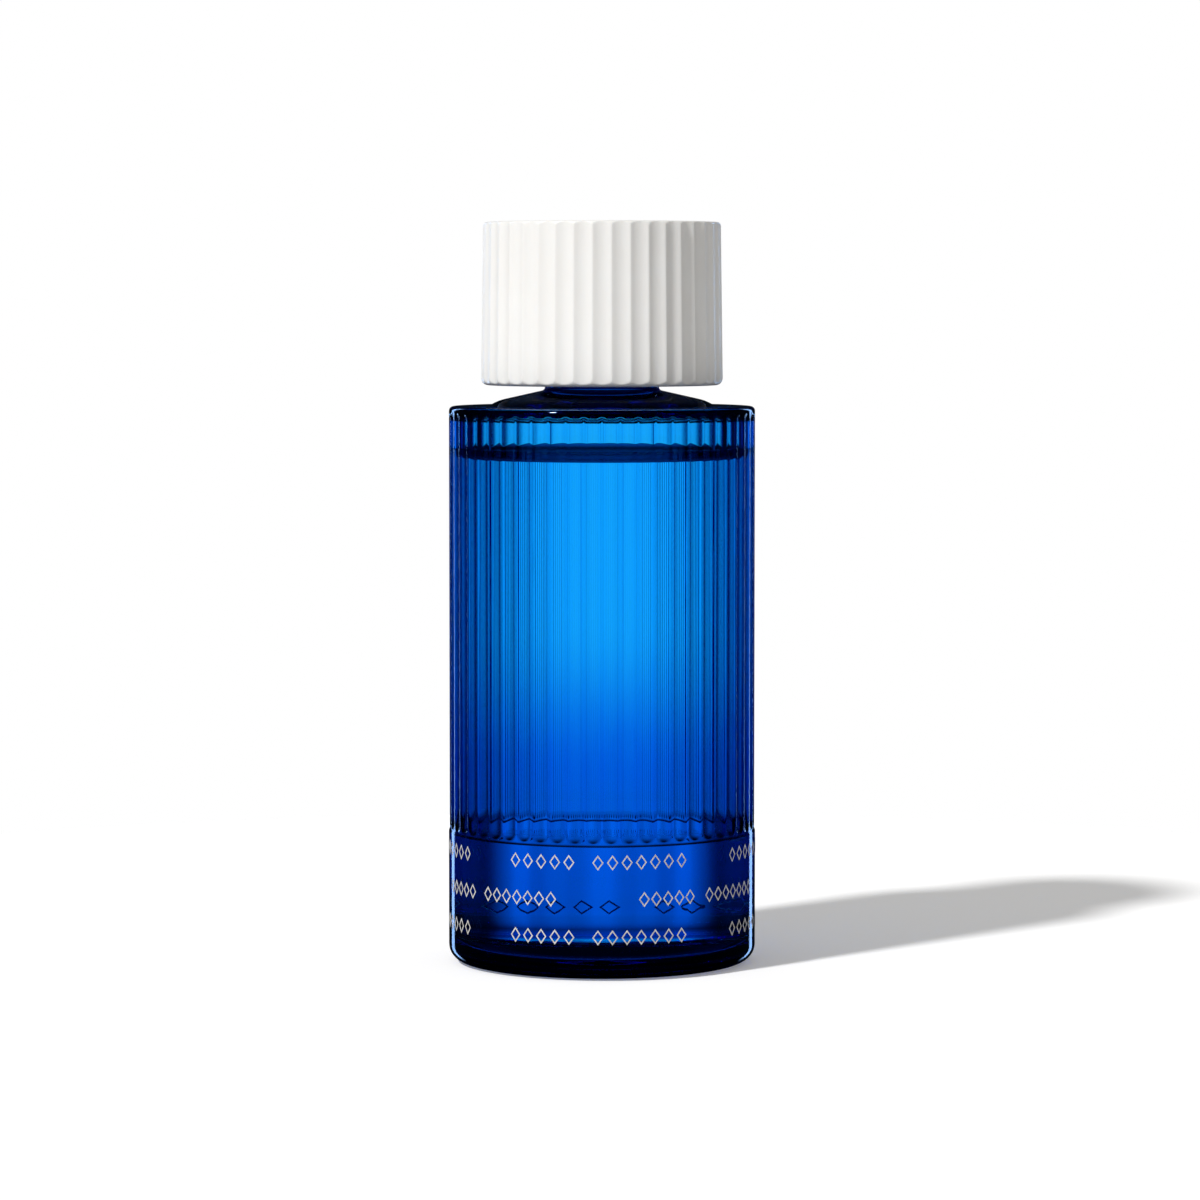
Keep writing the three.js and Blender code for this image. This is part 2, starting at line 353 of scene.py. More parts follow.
@dataclass(frozen=True)
class OpaqueFinish:
    """A plastic, foam or foil: a faint mottle, fine grain and, where light enters, a soft skin."""

    name: str
    tone: Colour
    shade: Colour
    roughness: float
    spread: float
    cloud_scale: float
    grain_scale: float
    grain_depth: float
    grain_strength: float = 0.5
    refraction: float = 1.49
    metal: float = 0.0
    glow_through: float = 0.0
    glow_reach: Colour = (0.9, 0.8, 0.7)
    glow_depth: float = 1.2 * MM

    def make(self, effects: SharedEffects) -> Material:
        """Makes the material.

        Args:
            effects: The shared node groups.

        Returns:
            The material.
        """
        material, wiring, shader, _ = start_material(self.name)
        mottle = wiring.add("ShaderNodeGroup", node_tree=effects.mottle)
        wiring.fill(
            mottle,
            Tone=self.tone,
            Shade=self.shade,
            Roughness=self.roughness,
            Spread=self.spread,
            Cloud_Scale=self.cloud_scale,
            Grain_Scale=self.grain_scale,
        )
        wiring.fill(
            shader,
            Base_Color=mottle.outputs["Color"],
            Roughness=mottle.outputs["Roughness"],
            IOR=self.refraction,
            Metallic=self.metal,
            Subsurface_Weight=self.glow_through,
            Subsurface_Radius=self.glow_reach,
            Subsurface_Scale=self.glow_depth,
        )
        bump(wiring, mottle.outputs["Height"], shader, self.grain_depth, self.grain_strength)
        return material


COBALT_GLASS = ClearFinish(
    name="cobalt_glass",
    refraction=1.5,
    absorbed_tint=(0.0, 0.8, 0.985),
    absorption=900.0,
    gleam=(0.2, 0.35, 0.9),
    painted_edge_shade=(0.5, 0.6, 1.0),
    ripple_scale=90.0,
    ripple_stretch=0.25,
    ripple_depth=0.05 * MM,
)
BLUE_LIQUID = ClearFinish(
    name="blue_liquid",
    refraction=1.35,
    absorbed_tint=(0.1, 0.85, 1.0),
    absorption=8.0,
    gleam=(0.25, 0.4, 0.9),
    painted_edge_shade=(0.9, 0.95, 1.0),
    ripple_scale=40.0,
    ripple_stretch=1.0,
    ripple_depth=0.01 * MM,
)
WHITE_CAP = OpaqueFinish(
    name="white_cap_plastic",
    tone=(0.93, 0.925, 0.905),
    shade=(0.915, 0.905, 0.88),
    roughness=0.34,
    spread=0.06,
    cloud_scale=60.0,
    grain_scale=3000.0,
    grain_depth=0.012 * MM,
    glow_through=0.15,
)
NATURAL_INSERT = OpaqueFinish(
    name="natural_insert_plastic",
    tone=(0.86, 0.86, 0.82),
    shade=(0.82, 0.82, 0.78),
    roughness=0.4,
    spread=0.08,
    cloud_scale=80.0,
    grain_scale=2500.0,
    grain_depth=0.01 * MM,
    glow_through=0.2,
)
LINER_FOAM = OpaqueFinish(
    name="foamed_liner",
    tone=(0.84, 0.86, 0.88),
    shade=(0.76, 0.78, 0.8),
    roughness=0.75,
    spread=0.1,
    cloud_scale=300.0,
    grain_scale=1800.0,
    grain_depth=0.06 * MM,
)
SILVER_FOIL = OpaqueFinish(
    name="silver_foil",
    tone=(0.8, 0.77, 0.72),
    shade=(0.6, 0.57, 0.53),
    roughness=0.45,
    spread=0.2,
    cloud_scale=900.0,
    grain_scale=4000.0,
    grain_depth=0.01 * MM,
    grain_strength=0.4,
    refraction=1.5,
    metal=0.3,
)


# Shapes.


def rounded_outline(*corners: Corner, step: float = math.radians(9)) -> list[Point]:
    """Rounds the corners of an outline by tangent arcs.

    Args:
        corners: Each corner's radius and level, and the radius of its fillet where it has one.
        step: The turn between two points of an arc.

    Returns:
        The points of the outline.
    """
    outline: list[Point] = []
    for i, corner in enumerate(corners):
        here = Vector(corner[:2])
        fillet = corner[2] if len(corner) > 2 else 0.0
        if not fillet or i in (0, len(corners) - 1):
            outline.append((here.x, here.y))
            continue
        before = Vector(corners[i - 1][:2]) - here
        after = Vector(corners[i + 1][:2]) - here
        half = before.angle(after) / 2
        room = FILLET_ROOM * min(before.length, after.length)
        reach = min(fillet / math.tan(half), room)
        radius = reach * math.tan(half)
        start = here + before.normalized() * reach
        centre = here + (before.normalized() + after.normalized()).normalized() * radius / math.sin(half)
        turn = math.pi - 2 * half
        sense = -1 if before.x * after.y - before.y * after.x > 0 else 1
        count = max(1, math.ceil(turn / step))
        spoke = start - centre
        for k in range(count + 1):
            angle = sense * turn * k / count
            x = centre.x + spoke.x * math.cos(angle) - spoke.y * math.sin(angle)
            outline.append((x, centre.y + spoke.x * math.sin(angle) + spoke.y * math.cos(angle)))
    return outline


def held(outline: Sequence[Point], hold: float = 0.25, longest: float = 2.5) -> list[Point]:
    """Adds a point near each end of a long straight, so that its shading stays straight too.

    Args:
        outline: The points of the outline.
        hold: How far from the end the point lies.
        longest: The length up to which a stretch is left alone.

    Returns:
        The points with the added ones.
    """
    found = [outline[0]]
    for (r0, z0), (r1, z1) in zip(outline, outline[1:]):
        length = math.hypot(r1 - r0, z1 - z0)
        if length > longest:
            for share in (hold / length, 1 - hold / length):
                found.append((r0 + (r1 - r0) * share, z0 + (z1 - z0) * share))
        found.append((r1, z1))
    return found


@dataclass(frozen=True)
class Ring:
    """One ring of a turned mesh: its nominal radius and level, and how many points go round it."""

    radius: float
    level: float
    columns: int


def add_point(mesh: Mesh, radius: float, angle: float, level: float) -> Vert:
    """Adds a point at an angle from the front, from millimetres."""
    turned = FRONT + angle
    return mesh.verts.new((radius * MM * math.cos(turned), radius * MM * math.sin(turned), level * MM))


def even_angles(count: int) -> list[float]:
    """Angles that go evenly round the axis."""
    return [2 * math.pi * k / count for k in range(count)]


def as_rings(outline: Sequence[Point], columns: int) -> list[Ring]:
    """The points of an outline as rings of equal count."""
    return [Ring(radius, level, columns) for radius, level in outline]


@dataclass
class TurnedMesh:
    """A mesh made of rings about the axis, whose points may be moved in or out as they are laid."""

    fine_angles: Sequence[float]
    shape: Callable[[float, float, float], float] = field(default=lambda radius, level, angle: radius)

    def lay(self, rings: Sequence[Ring]) -> Mesh:
        """Lays the rings and joins each to the next.

        Args:
            rings: The rings in order. A radius of 0 is a point on the axis.

        Returns:
            The mesh, still open for editing.
        """
        mesh = bmesh.new()
        previous: list[Vert] = []
        for ring in rings:
            stride = len(self.fine_angles) // ring.columns
            if ring.radius < ON_AXIS:
                current = [mesh.verts.new((0, 0, ring.level * MM))]
            else:
                current = [
                    add_point(mesh, self.shape(ring.radius, ring.level, angle), angle, ring.level)
                    for angle in self.fine_angles[::stride]
                ]
            if previous:
                self._bridge(mesh, previous, current)
            previous = current
        mesh.normal_update()
        return mesh

    @staticmethod
    def _bridge(mesh: Mesh, lower: list[Vert], upper: list[Vert]) -> None:
        """Joins two rings whose counts are equal or multiples of each other.

        Args:
            mesh: The mesh.
            lower: The points of the first ring.
            upper: The points of the second ring.
        """
        sizes = (len(lower), len(upper))
        count = max(sizes) if 1 in sizes else max(2, min(sizes))
        for i in range(count):
            first = TurnedMesh._stretch(lower, i, count)
            second = TurnedMesh._stretch(upper, i, count)
            mesh.faces.new([*first, *reversed(second)])

    @staticmethod
    def _stretch(ring: list[Vert], i: int, count: int) -> list[Vert]:
        """The points of a ring that border the i-th of count faces."""
        if len(ring) == 1:
            return ring
        stride = len(ring) // count
        return [ring[k % len(ring)] for k in range(i * stride, (i + 1) * stride + 1)]


def finish_mesh(mesh: Mesh, name: str, material: Material, sharp: float = math.radians(42)) -> Thing:
    """Turns an edited mesh into an object with smooth faces and sharp corners.

    Args:
        mesh: The edited mesh, which is freed.
        name: The object's name.
        material: Its material.
        sharp: The angle from which an edge stays sharp.

    Returns:
        The object.
    """
    bmesh.ops.recalc_face_normals(mesh, faces=mesh.faces)
    for face in mesh.faces:
        face.smooth = True
    for edge in mesh.edges:
        edge.smooth = edge.is_manifold and edge.calc_face_angle(0.0) < sharp
    data = bpy.data.meshes.new(name)
    data.materials.append(material)
    mesh.to_mesh(data)
    mesh.free()
    thing = bpy.data.objects.new(name, data)
    bpy.context.scene.collection.objects.link(thing)
    return thing


def add_block(mesh: Mesh, angle: float, low: Corner, high: Corner) -> None:
    """Adds a block that stands at an angle about the axis.

    Args:
        mesh: The mesh.
        angle: The block's angle from the front.
        low: Its lowest radius, offset and level.
        high: Its highest radius, offset and level.
    """
    turned = FRONT + angle
    corners = []
    for r in (low[0], high[0]):
        for t in (low[1], high[1]):
            for z in (low[2], high[2]):
                x = r * math.cos(turned) - t * math.sin(turned)
                y = r * math.sin(turned) + t * math.cos(turned)
                corners.append(mesh.verts.new((x * MM, y * MM, z * MM)))
    for loop in ((0, 1, 3, 2), (4, 6, 7, 5), (0, 4, 5, 1), (2, 3, 7, 6), (0, 2, 6, 4), (1, 5, 7, 3)):
        mesh.faces.new([corners[k] for k in loop])


@dataclass(frozen=True)
class Fluting:
    """Concave flutes round a body, with narrow lands between them."""

    count: int
    width: float
    depth: float
    ground: float
    first_land: float = 0.0

    @property
    def tool_radius(self) -> float:
        """The radius of a flute's section."""
        return (self.width**2 / 4 + self.depth**2) / (2 * self.depth)

    @property
    def columns(self) -> int:
        """How many columns of points go round the body."""
        return (1 + len(FLUTE_COLUMNS)) * self.count

    def angles(self) -> list[float]:
        """The angles of the columns round the body, closest together at the lands.

        Returns:
            Twelve angles for each flute, starting on a land.
        """
        half = self.width / 2
        pitch = 2 * math.pi * self.ground / self.count
        offsets = [0.0] + [pitch / 2 + half * k for k in FLUTE_COLUMNS]
        found = []
        for i in range(self.count):
            found += [self.first_land + (pitch * i + offset) / self.ground for offset in offsets]
        return found

    def cut(self, angle: float, past_end: float = 0.0) -> float:
        """How deep the flute is at an angle.

        Args:
            angle: The angle from the front.
            past_end: How far past the straight part of the flute the point lies.

        Returns:
            The depth, 0 on a land.
        """
        pitch = 2 * math.pi / self.count
        across = ((angle - self.first_land) % pitch - pitch / 2) * self.ground
        inside = self.tool_radius**2 - across**2 - max(0.0, past_end) ** 2
        return max(0.0, math.sqrt(max(0.0, inside)) - (self.tool_radius - self.depth))


@dataclass(frozen=True)
class ScrewThread:
    """A right-hand thread of trapezoid section, raised on a wall or sunk from it."""

    wall_radius: float
    crest_radius: float
    foot_width: float
    crest_width: float
    start_level: float
    pitch: float = 4.2
    turns: float = 1.5
    run_out: float = 0.12

    def radius(self, level: float, angle: float) -> float:
        """The wall's radius where the thread may pass.

        Args:
            level: The level.
            angle: The angle from the front.

        Returns:
            The radius of the wall or the thread's flank or crest.
        """
        height = self.crest_radius - self.wall_radius
        slope = (self.foot_width - self.crest_width) / 2
        best = 0.0
        for lap in range(-1, math.ceil(self.turns) + 2):
            turn = angle % (2 * math.pi) / (2 * math.pi) + lap
            if not 0 <= turn <= self.turns:
                continue
            away = abs(level - self.start_level - self.pitch * turn)
            fade = min(1.0, turn / self.run_out, (self.turns - turn) / self.run_out)
            rise = min(1.0, max(0.0, (self.foot_width / 2 - away) / slope))
            best = max(best, rise * fade)
        return self.wall_radius + height * best


def levels_between(low: float, high: float, step: float) -> list[float]:
    """Evenly spaced levels, both ends included."""
    count = max(1, round(abs(high - low) / step))
    return [low + (high - low) * k / count for k in range(count + 1)]


# Sub-assemblies.


@dataclass
class GlassBottle:
    """The bottle's glass: foot band, fluted wall, low domed shoulder and threaded neck. Millimetres."""

    radius: float = 35.0
    height: float = 126.6
    base_corner: float = 3.8
    rim_corner: float = 2.0
    wall: float = 3.2
    floor_level: float = 4.4
    floor_dish: float = 0.6
    floor_corner: float = 4.0
    push_up: float = 1.2
    ring_width: float = 10.0
    band_height: float = 30.0
    ring_fillet: float = 8.0
    foot_gap: float = 0.5
    head_gap: float = 1.3
    shoulder_ring: float = 9.0
    edge_run: float = 1.8
    edge_rise: float = 1.2
    shoulder_rise: float = 3.7
    ceiling_drop: float = 1.6
    ceiling_rise: float = 0.8
    ceiling_corner: float = 1.0
    neck_radius: float = 12.95
    neck_height: float = 16.7
    mouth_radius: float = 10.2
    mouth_edge: float = 0.8
    bead_rise: float = 2.6
    bead_proud: float = 1.1
    thread_proud: float = 1.1
    thread_start: float = 8.9
    thread_step: float = 0.2
    flute_end_step: float = 0.14
    fluting: Fluting = Fluting(count=54, width=3.5, depth=0.45, ground=34.8)
    coarse: int = 108

    @property
    def neck_foot(self) -> float:
        """The level where the neck leaves the shoulder."""
        return self.height + self.shoulder_rise

    @property
    def mouth(self) -> float:
        """The level of the mouth."""
        return self.neck_foot + self.neck_height

    @property
    def inner_radius(self) -> float:
        """The radius of the hollow."""
        return self.radius - self.wall

    def thread(self) -> ScrewThread:
        """The neck's outer thread."""
        crest = self.neck_radius + self.thread_proud
        return ScrewThread(self.neck_radius, crest, 2.2, 1.0, self.mouth - self.thread_start)

    def shape(self, radius: float, level: float, angle: float) -> float:
        """The outer radius, with flutes and thread.

        Args:
            radius: The ring's nominal radius.
            level: The ring's level.
            angle: The angle from the front.

        Returns:
            The radius at that angle.
        """
        low = self.band_height + self.foot_gap + self.fluting.width / 2
        high = self.height - self.head_gap - self.fluting.width / 2
        if radius > self.fluting.ground - 3 and self.band_height < level < self.height:
            past = max(low - level, level - high)
            return min(radius, self.fluting.ground - self.fluting.cut(angle, past))
        if abs(radius - self.neck_radius) < SAME_RADIUS and level > self.neck_foot + 5:
            return self.thread().radius(level, angle)
        return radius

    def outside(self) -> list[Ring]:
        """The rings of the outside, from the middle of the base to the mouth.

        Returns:
            The rings, fine where the flutes run.
        """
        fine = self.fluting.columns
        ground = self.fluting.ground
        foot_ring = self.radius - self.base_corner - self.ring_width
        foot = ((0, self.push_up), (foot_ring, 0, self.ring_fillet), (self.radius, 0, self.base_corner))
        base = held(rounded_outline(*foot, (self.radius, self.band_height)))
        edge = self.radius - self.base_corner - 0.5
        rings = [Ring(r, z, self.coarse if r < edge else fine) for r, z in base[:-1]]
        band_top = ((self.radius, -0.25), (self.radius - 0.06, -0.05), (ground, 0.15))
        rings += [Ring(r, self.band_height + rise, fine) for r, rise in band_top]
        first = self.band_height + self.foot_gap
        last = self.height - self.head_gap
        half = self.fluting.width / 2
        levels = levels_between(first - 0.05, first + half, self.flute_end_step)
        levels += [first + half + 0.3, first + half + 2, last - half - 2, last - half - 0.3]
        levels += levels_between(last - half, last + 0.05, self.flute_end_step)
        rim = (ground, self.height, self.rim_corner)
        top = rounded_outline((ground, last + 0.2), rim, (ground - self.shoulder_ring, self.height))
        return rings + as_rings([(ground, level) for level in levels] + top[1:-1], fine)

    def shoulder_and_neck(self) -> list[Ring]:
        """The rings of the shoulder, the neck and its finish, up to the mouth.

        Returns:
            The rings.
        """
        inner = self.fluting.ground - self.shoulder_ring
        bead = self.neck_foot + self.bead_rise
        neck = self.neck_radius
        proud = neck + self.bead_proud
        outline = rounded_outline(
            (inner + 1.5, self.height),
            (inner, self.height, 0.7),
            (inner - self.edge_run, self.height + self.edge_rise, 10),
            (neck, self.neck_foot, 0.9),
            (neck, bead, 0.3),
            (proud, bead + 0.6, 0.3),
            (proud, bead + 1.2, 0.3),
            (neck, bead + 1.8, 0.3),
            (neck, bead + 2.2),
        )
        lip = self.mouth - 0.9
        outline += [(neck, z) for z in levels_between(bead + 2.3, lip, self.thread_step)]
        mouth = [(neck, self.mouth, self.mouth_edge), (self.mouth_radius, self.mouth, self.mouth_edge)]
        outline += rounded_outline((neck, lip), *mouth, (self.mouth_radius, self.mouth - 2))[1:]
        return as_rings(outline, self.coarse)

    def inside(self) -> list[Ring]:
        """The rings of the hollow, from the neck down to the middle of its floor.

        Returns:
            The rings.
        """
        ceiling = self.height - self.ceiling_drop
        outline = rounded_outline(
            (self.mouth_radius, self.mouth - 3),
            (self.mouth_radius, ceiling + self.ceiling_rise, 2.5),
            (self.inner_radius, ceiling, self.ceiling_corner),
            (self.inner_radius, self.floor_level - self.floor_dish, self.floor_corner),
            (0, self.floor_level),
        )
        return as_rings(held(outline), self.coarse)

    def build(self, finish: Material) -> Thing:
        """Builds the glass.

        Args:
            finish: Its material.

        Returns:
            The piece, riding on the bottle.
        """
        turned = TurnedMesh(self.fluting.angles(), self.shape)
        mesh = turned.lay([*self.outside(), *self.shoulder_and_neck(), *self.inside()])
        glass = finish_mesh(mesh, "fluted_glass", finish)
        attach(glass, Body.BOTTLE.value)
        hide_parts("glass_bottle")
        return glass


@dataclass
class LiquidFill:
    """The liquid, wetting the glass, with its surface drawn up at the wall. Millimetres."""

    bottle: GlassBottle
    wetting: float = 0.06
    headspace: float = 12.0
    creep: float = 2.6
    creep_fall: float = 1.6
    creep_reach: float = 6.5
    creep_points: int = 12
    columns: int = 216

    def build(self, finish: Material) -> Thing:
        """Builds the liquid.

        Args:
            finish: Its material.

        Returns:
            The piece, riding on the bottle.
        """
        radius = self.bottle.inner_radius + self.wetting
        floor = self.bottle.floor_level - self.wetting
        level = self.bottle.height - self.headspace
        outline = rounded_outline(
            (0, floor),
            (radius, floor - self.bottle.floor_dish, self.bottle.floor_corner),
            (radius, level + self.creep),
        )
        for k in range(1, self.creep_points + 1):
            away = self.creep_reach * (k / self.creep_points) ** 1.6
            outline.append((radius - away, level + self.creep * math.exp(-away / self.creep_fall)))
        outline += [(radius - 11, level), (0, level)]
        turned = TurnedMesh(even_angles(self.columns))
        rings = as_rings(held(outline), self.columns)
        liquid = finish_mesh(turned.lay(rings), "scent_liquid", finish)
        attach(liquid, Body.BOTTLE.value)
        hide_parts("liquid_fill")
        return liquid


@dataclass
class CapShell:
    """The white outer shell of the cap, fluted from its foot to its top edge. Millimetres."""

    foot_level: float = 131.4
    height: float = 36.9
    foot_radius: float = 27.5
    draft: float = 0.5
    top_edge: float = 1.0
    foot_edge: float = 1.6
    wall: float = 2.4
    top_thickness: float = 2.2
    seat_height: float = 3.6
    seat_width: float = 0.9
    rib_count: int = 8
    rib_thickness: float = 1.4
    rib_inner: float = 17.15
    fluting: Fluting = Fluting(40, width=3.95, depth=0.44, ground=27.25, first_land=math.radians(4.5))
    coarse: int = 80

    def ground(self, level: float) -> float:
        """The radius of the lands at a level."""
        return self.foot_radius - self.draft * (level - self.foot_level) / self.height

    def shape(self, radius: float, level: float, angle: float) -> float:
        """The radius at an angle from the front, with the flutes on the outside."""
        fluted = min(radius, self.ground(level) - self.fluting.cut(angle))
        return radius if radius < self.foot_radius - self.wall else fluted

    def rings(self) -> list[Ring]:
        """The rings of the shell, from its top over its foot and up inside.

        Returns:
            The rings, fine where the flutes run.
        """
        top = self.foot_level + self.height
        bore = self.foot_radius - self.wall
        outside = rounded_outline(
            (self.foot_radius - self.draft - 2.2, top),
            (self.foot_radius - self.draft, top, self.top_edge),
            (self.foot_radius, self.foot_level, self.foot_edge),
            (bore + 0.05, self.foot_level),
        )
        ceiling = top - self.top_thickness
        seat = self.foot_level + self.seat_height
        inside = rounded_outline(
            (bore, self.foot_level + 0.3),
            (bore, seat),
            (bore - self.seat_width, seat),
            (bore - self.seat_width - self.draft, ceiling, 1.5),
            (0, ceiling),
        )
        rings = as_rings([(0, top), (20, top)], self.coarse)
        return rings + as_rings(held(outside), self.fluting.columns) + as_rings(held(inside), self.coarse)

    def build(self, finish: Material) -> Thing:
        """Builds the shell with the ribs inside that turn the insert.

        Args:
            finish: Its material.

        Returns:
            The piece, riding on the screw cap.
        """
        mesh = TurnedMesh(self.fluting.angles(), self.shape).lay(self.rings())
        outer = self.foot_radius - self.wall - 0.6
        foot = self.foot_level + self.seat_height + self.seat_width
        roof = self.foot_level + self.height - self.top_thickness + 0.3
        half = self.rib_thickness / 2
        for k in range(self.rib_count):
            angle = 2 * math.pi * (k + 0.5) / self.rib_count
            add_block(mesh, angle, (self.rib_inner, -half, foot), (outer, half, roof))
        shell = finish_mesh(mesh, "fluted_cap_shell", finish)
        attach(shell, Body.SCREW_CAP.value)
        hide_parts("cap_shell")
        return shell


@dataclass
class CapInsert:
    """The threaded insert inside the cap. Millimetres."""

    bottle: GlassBottle
    foot_level: float = 132.2
    wall: float = 2.4
    deck: float = 1.6
    flange: float = 1.6
    flange_top: float = 134.7
    flange_radius: float = 24.8
    radial_play: float = 0.4
    deck_level: float = 148.8
    spline_count: int = 8
    spline_proud: float = 1.2
    spline_width: float = 2.0
    thread_drop: float = 1.58
    columns: int = 144

    @property
    def bore(self) -> float:
        """The radius of the bore, clear of the neck's thread."""
        return self.bottle.neck_radius + self.bottle.thread_proud + self.radial_play

    def thread(self) -> ScrewThread:
        """The insert's inner thread, which bears up under the neck's."""
        crest = self.bottle.neck_radius + self.radial_play
        start = self.bottle.thread().start_level - self.thread_drop
        return ScrewThread(self.bore, crest, 1.9, 0.8, start)

    def shape(self, radius: float, level: float, angle: float) -> float:
        """The radius at an angle from the front, with the thread on the bore."""
        on_bore = abs(radius - self.bore) < SAME_RADIUS
        return self.thread().radius(level, angle) if on_bore else radius

    def rings(self) -> list[Ring]:
        """The rings of the insert, from the top of its deck, down outside and up its bore.

        Returns:
            The rings.
        """
        outer = self.bore + self.wall
        low = self.flange_top - self.flange
        outline = rounded_outline(
            (0, self.deck_level + self.deck),
            (outer, self.deck_level + self.deck, 1),
            (outer, self.flange_top, 0.5),
            (self.flange_radius, self.flange_top),
            (self.flange_radius, low, 0.5),
            (outer, low),
            (outer, self.foot_level, 0.4),
            (self.bore, self.foot_level, 0.4),
            (self.bore, self.foot_level + 1),
        )
        levels = levels_between(self.foot_level + 1.2, self.deck_level, self.bottle.thread_step)
        outline += [(self.bore, z) for z in levels]
        outline.append((0, self.deck_level))
        return as_rings(held(outline), self.columns)

    def build(self, finish: Material) -> Thing:
        """Builds the insert with its splines.

        Args:
            finish: Its material.

        Returns:
            The piece, riding on the screw cap.
        """
        mesh = TurnedMesh(even_angles(self.columns), self.shape).lay(self.rings())
        outer = self.bore + self.wall
        half = self.spline_width / 2
        low = (outer - 0.3, -half, self.flange_top - 0.3)
        high = (outer + self.spline_proud, half, self.deck_level + 0.8)
        for angle in even_angles(self.spline_count):
            add_block(mesh, angle, low, high)
        insert = finish_mesh(mesh, "threaded_insert", finish)
        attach(insert, Body.SCREW_CAP.value)
        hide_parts("cap_insert")
        return insert


@dataclass
class SealLiner:
    """The soft disc that seals the mouth. Millimetres."""

    bottle: GlassBottle
    radius: float = 14.15
    thickness: float = 1.2
    clearance: float = 0.3
    edge: float = 0.15
    columns: int = 144

    def build(self, finish: Material) -> Thing:
        """Builds the disc.

        Args:
            finish: Its material.

        Returns:
            The piece, riding on the seal.
        """
        low = self.bottle.mouth + self.clearance
        high = low + self.thickness
        outline = rounded_outline(
            (0, low), (self.radius, low, self.edge), (self.radius, high, self.edge), (0, high)
        )
        mesh = TurnedMesh(even_angles(self.columns)).lay(as_rings(outline, self.columns))
        liner = finish_mesh(mesh, "liner_disc", finish)
        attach(liner, Body.SEAL.value)
        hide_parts("seal_liner")
        return liner


@dataclass(frozen=True)
class FoilRow:
    """One row of plain foil lozenges round the foot band, in groups that come back at each turn."""

    name: str
    level: float
    centre: float
    span: float
    groups: tuple[int, ...] = (5, 7)
    turns: tuple[float, ...] = (0.0, 90.0, 180.0, 270.0)


@dataclass
class FoilRows:
    """The foil rows on the plain band, of small lozenge outlines. Millimetres."""

    bottle: GlassBottle
    mark_height: float = 3.4
    mark_width: float = 2.5
    stroke: float = 0.27
    proud: float = 0.05
    sunk: float = 0.02
    sharp: float = math.radians(30)
    group_gap: float = 2.0
    rows: tuple[FoilRow, ...] = (
        FoilRow("foil_row_upper", 26.4, -1.5, 67.8),
        FoilRow("foil_row_middle", 18.1, 43.3, 59.6, turns=(0.0, 270.0)),
        FoilRow("foil_row_lower", 9.7, -1.5, 67.8),
    )

    def _lozenge(self, mesh: Mesh, across: float, level: float) -> None:
        """Adds one lozenge outline as a thin closed solid.

        Args:
            mesh: The mesh.
            across: The distance of its middle round the band from the front.
            level: The level of its middle.
        """
        half_width = self.mark_width / 2
        half_height = self.mark_height / 2
        slant = math.hypot(half_width, half_height) / (half_width * half_height)
        inset = 1 - self.stroke * slant
        loops = []
        section = ((1.0, self.proud), (inset, self.proud), (inset, -self.sunk), (1.0, -self.sunk))
        for share, lift in section:
            radius = self.bottle.radius + lift
            loop = []
            for x, z in LOZENGE:
                angle = (across + x * half_width * share) / self.bottle.radius
                loop.append(add_point(mesh, radius, angle, level + z * half_height * share))
            loops.append(loop)
        for k, loop in enumerate(loops):
            other = loops[(k + 1) % len(loops)]
            for i in range(len(loop)):
                j = (i + 1) % len(loop)
                mesh.faces.new([loop[i], loop[j], other[j], other[i]])

    def build(self, finish: Material) -> list[Thing]:
        """Builds the rows.

        Args:
            finish: Their material.

        Returns:
            The pieces, riding on the bottle.
        """
        made = []
        for row in self.rows:
            mesh = bmesh.new()
            spaces = sum(row.groups) - 1 + self.group_gap * (len(row.groups) - 1) / 2
            length = math.radians(row.span) * self.bottle.radius
            pitch = (length - self.mark_width) / spaces
            for turn in row.turns:
                centre = math.radians(row.centre + turn) * self.bottle.radius
                across = centre - length / 2 + self.mark_width / 2
                for size in row.groups:
                    for _ in range(size):
                        self._lozenge(mesh, across, row.level)
                        across += pitch
                    across += pitch * self.group_gap / 2
            strip = finish_mesh(mesh, row.name, finish, self.sharp)
            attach(strip, Body.BOTTLE.value)
            made.append(strip)
        return made


